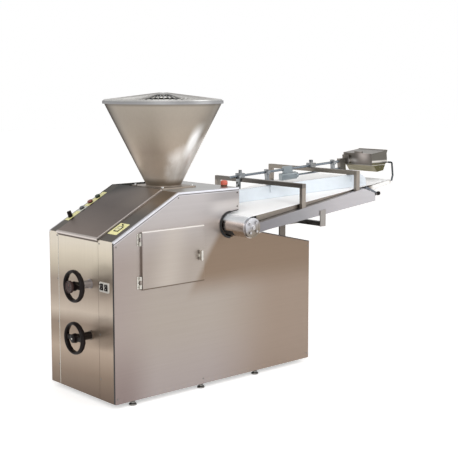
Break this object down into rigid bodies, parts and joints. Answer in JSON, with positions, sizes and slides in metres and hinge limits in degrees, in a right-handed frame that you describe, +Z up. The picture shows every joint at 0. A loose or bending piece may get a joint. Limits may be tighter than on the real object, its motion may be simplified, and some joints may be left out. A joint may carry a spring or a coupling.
{
  "type": "volumetric dough divider",
  "caption": "Stainless floor-standing dough divider with a conical hopper, front handwheels, a side door and an inclined discharge conveyor with a guide and a flour duster.",
  "frame": {"origin": "middle of the overall bounding box, at the floor under the levelling feet", "axes": "+X along the conveyor towards its head, +Y away from the door side, +Z up"},
  "size_m": [2.2676, 0.8966, 1.704],
  "materials": {
    "stainless": "satin brushed stainless sheet",
    "machined_steel": "machined steel",
    "polished_steel": "polished steel",
    "zinc_steel": "plated fasteners and clamps",
    "pale_aluminium": "satin anodised",
    "black_plastic": "fine-grained black plastic",
    "black_paint": "satin black paint",
    "grey_paint": "satin grey paint",
    "red_plastic": "moulded red",
    "green_plastic": "moulded green",
    "grey_plastic": "moulded grey",
    "ochre_plastic": "moulded ochre",
    "white_belt": "smooth coated conveyor belt",
    "white_plastic": "food-grade plastic",
    "black_rubber": "edging strip"
  },
  "bodies": {
    "machine": {"base_frame": "stainless", "near_side_panel": "stainless", "far_side_panel": "stainless", "front_panel": "stainless", "front_strips": "stainless", "slope_cover": "stainless", "slope_strips": "stainless", "top_deck": "stainless", "rear_cover": "stainless", "levelling_feet": "zinc_steel", "panel_screws": "zinc_steel", "notch_trim": "black_rubber", "hopper": "stainless", "hex_bolts": "zinc_steel", "door_hinges": "polished_steel", "control_frames": "black_plastic", "estop_base": "ochre_plastic", "wheel_bushes": "polished_steel", "dough_chamber": "machined_steel", "gearmotor": "grey_paint", "near_rail": "stainless", "far_rail": "stainless", "slider_bed": "stainless", "belt": "white_belt", "tail_guard": "stainless", "conveyor_brackets": "stainless", "cross_bar": "black_paint", "gantries": "stainless", "guide_plate": "pale_aluminium", "boom_rods": "polished_steel", "boom_clamps": "zinc_steel", "duster_motor": "grey_paint", "duster_box": "stainless"},
    "guard": {"hopper_guard": "stainless"},
    "side_door": {"door": "stainless"},
    "latch": {"door_latch": "black_plastic"},
    "speed": {"speed_knob": "black_plastic"},
    "jog": {"jog_button": "grey_plastic"},
    "stop": {"stop_button": "red_plastic"},
    "start": {"start_button": "green_plastic"},
    "count": {"counter_button": "grey_plastic"},
    "mains": {"mains_switch": "black_plastic"},
    "belt_power": {"belt_switch": "black_plastic"},
    "estop": {"estop_button": "red_plastic"},
    "weight_turn": {"weight_wheel": "black_plastic", "weight_screw": "machined_steel"},
    "weight_travel": {"weight_nut": "machined_steel"},
    "pressure_turn": {"pressure_wheel": "black_plastic", "pressure_screw": "machined_steel"},
    "pressure_travel": {"pressure_nut": "machined_steel"},
    "piston": {"main_piston": "machined_steel"},
    "cutter": {"knife": "machined_steel"},
    "drum": {"measuring_drum": "machined_steel"},
    "measure": {"measuring_piston": "machined_steel"},
    "tail": {"tail_drum": "polished_steel"},
    "nose": {"nose_roller": "polished_steel"},
    "dust_drive": {"duster_shaft": "polished_steel"},
    "dust_roll": {"duster_roller": "white_plastic"},
    "dust_lid": {"duster_lid": "stainless"},
    "crank": {"crank_shaft": "machined_steel"}
  },
  "joints": [
    {"name": "guard_lift", "type": "hinge", "parent": "machine", "child": "guard", "pos_m": [-0.40779, 0.43967, 1.657], "axis": [-1, 0, 0], "range_deg": [0, 95]},
    {"name": "door_swing", "type": "hinge", "parent": "machine", "child": "side_door", "pos_m": [-0.82179, -0.25273, 0.795], "axis": [0, 0, -1], "range_deg": [0, 110]},
    {"name": "latch_turn", "type": "hinge", "parent": "side_door", "child": "latch", "pos_m": [-0.41379, -0.25973, 0.786], "axis": [0, -1, 0], "range_deg": [0, 90]},
    {"name": "speed_turn", "type": "hinge", "parent": "machine", "child": "speed", "pos_m": [-0.86679, 0.36267, 0.98372], "axis": [-0.468, 0, 0.8837], "range_deg": [-135, 135]},
    {"name": "jog_press", "type": "slide", "parent": "machine", "child": "jog", "axis": [0.468, 0, -0.8837], "range_m": [0, 0.003], "stiffness_N_per_m": 600},
    {"name": "stop_press", "type": "slide", "parent": "machine", "child": "stop", "axis": [0.468, 0, -0.8837], "range_m": [0, 0.003], "stiffness_N_per_m": 600},
    {"name": "start_press", "type": "slide", "parent": "machine", "child": "start", "axis": [0.468, 0, -0.8837], "range_m": [0, 0.003], "stiffness_N_per_m": 600},
    {"name": "count_press", "type": "slide", "parent": "machine", "child": "count", "axis": [0.468, 0, -0.8837], "range_m": [0, 0.003], "stiffness_N_per_m": 600},
    {"name": "estop_press", "type": "slide", "parent": "machine", "child": "estop", "axis": [0, 0, -1], "range_m": [0, 0.006], "stiffness_N_per_m": 900},
    {"name": "mains_rock", "type": "hinge", "parent": "machine", "child": "mains", "pos_m": [-0.99279, -0.17933, 0.661], "axis": [0, 1, 0], "range_deg": [-10, 10]},
    {"name": "belt_power_rock", "type": "hinge", "parent": "machine", "child": "belt_power", "pos_m": [-0.99279, -0.13733, 0.661], "axis": [0, 1, 0], "range_deg": [-10, 10]},
    {"name": "weight_spin", "type": "hinge", "parent": "machine", "child": "weight_turn", "pos_m": [-1.09779, -0.01733, 0.66], "axis": [1, 0, 0], "range_deg": [-1440, 1440]},
    {"name": "weight_slide", "type": "slide", "parent": "machine", "child": "weight_travel", "axis": [1, 0, 0], "range_m": [-0.0201, 0.0201]},
    {"name": "pressure_spin", "type": "hinge", "parent": "machine", "child": "pressure_turn", "pos_m": [-1.09779, -0.01733, 0.373], "axis": [1, 0, 0], "range_deg": [-1440, 1440]},
    {"name": "pressure_slide", "type": "slide", "parent": "machine", "child": "pressure_travel", "axis": [1, 0, 0], "range_m": [-0.0201, 0.0201]},
    {"name": "piston_stroke", "type": "slide", "parent": "machine", "child": "piston", "axis": [1, 0, 0], "range_m": [0, 0.19]},
    {"name": "knife_stroke", "type": "slide", "parent": "machine", "child": "cutter", "axis": [0, -1, 0], "range_m": [0, 0.165]},
    {"name": "drum_turn", "type": "hinge", "parent": "machine", "child": "drum", "pos_m": [-0.17779, 0.07467, 1.086], "axis": [0, -1, 0], "range_deg": [0, 90]},
    {"name": "measure_stroke", "type": "slide", "parent": "drum", "child": "measure", "axis": [-1, 0, 0], "range_m": [0, 0.024]},
    {"name": "tail_spin", "type": "hinge", "parent": "machine", "child": "tail", "pos_m": [-0.16979, -0.03283, 0.937], "axis": [0, 1, 0], "continuous": true},
    {"name": "nose_spin", "type": "hinge", "parent": "machine", "child": "nose", "pos_m": [1.06643, -0.03283, 1.12012], "axis": [0, 1, 0], "continuous": true},
    {"name": "dust_drive_spin", "type": "hinge", "parent": "machine", "child": "dust_drive", "pos_m": [0.62647, 0.01386, 1.16258], "axis": [0.9461, -0.3087, 0.0983], "continuous": true},
    {"name": "dust_roll_spin", "type": "hinge", "parent": "machine", "child": "dust_roll", "pos_m": [1.05259, -0.21433, 1.21011], "axis": [0, 1, 0], "continuous": true},
    {"name": "dust_lid_lift", "type": "hinge", "parent": "machine", "child": "dust_lid", "pos_m": [1.12099, -0.21433, 1.31653], "axis": [0, 1, 0], "range_deg": [0, 100]},
    {"name": "crank_spin", "type": "hinge", "parent": "machine", "child": "crank", "pos_m": [-0.28279, 0.07467, 0.2332], "axis": [0, 1, 0], "continuous": true}
  ],
  "couplings": [
    {"joint": "weight_slide", "follows": "weight_spin", "m_per_rad": 0.00079577},
    {"joint": "pressure_slide", "follows": "pressure_spin", "m_per_rad": 0.00079577},
    {"joint": "nose_spin", "follows": "tail_spin", "ratio": 4.5},
    {"joint": "dust_roll_spin", "follows": "dust_drive_spin", "ratio": 1}
  ]
}
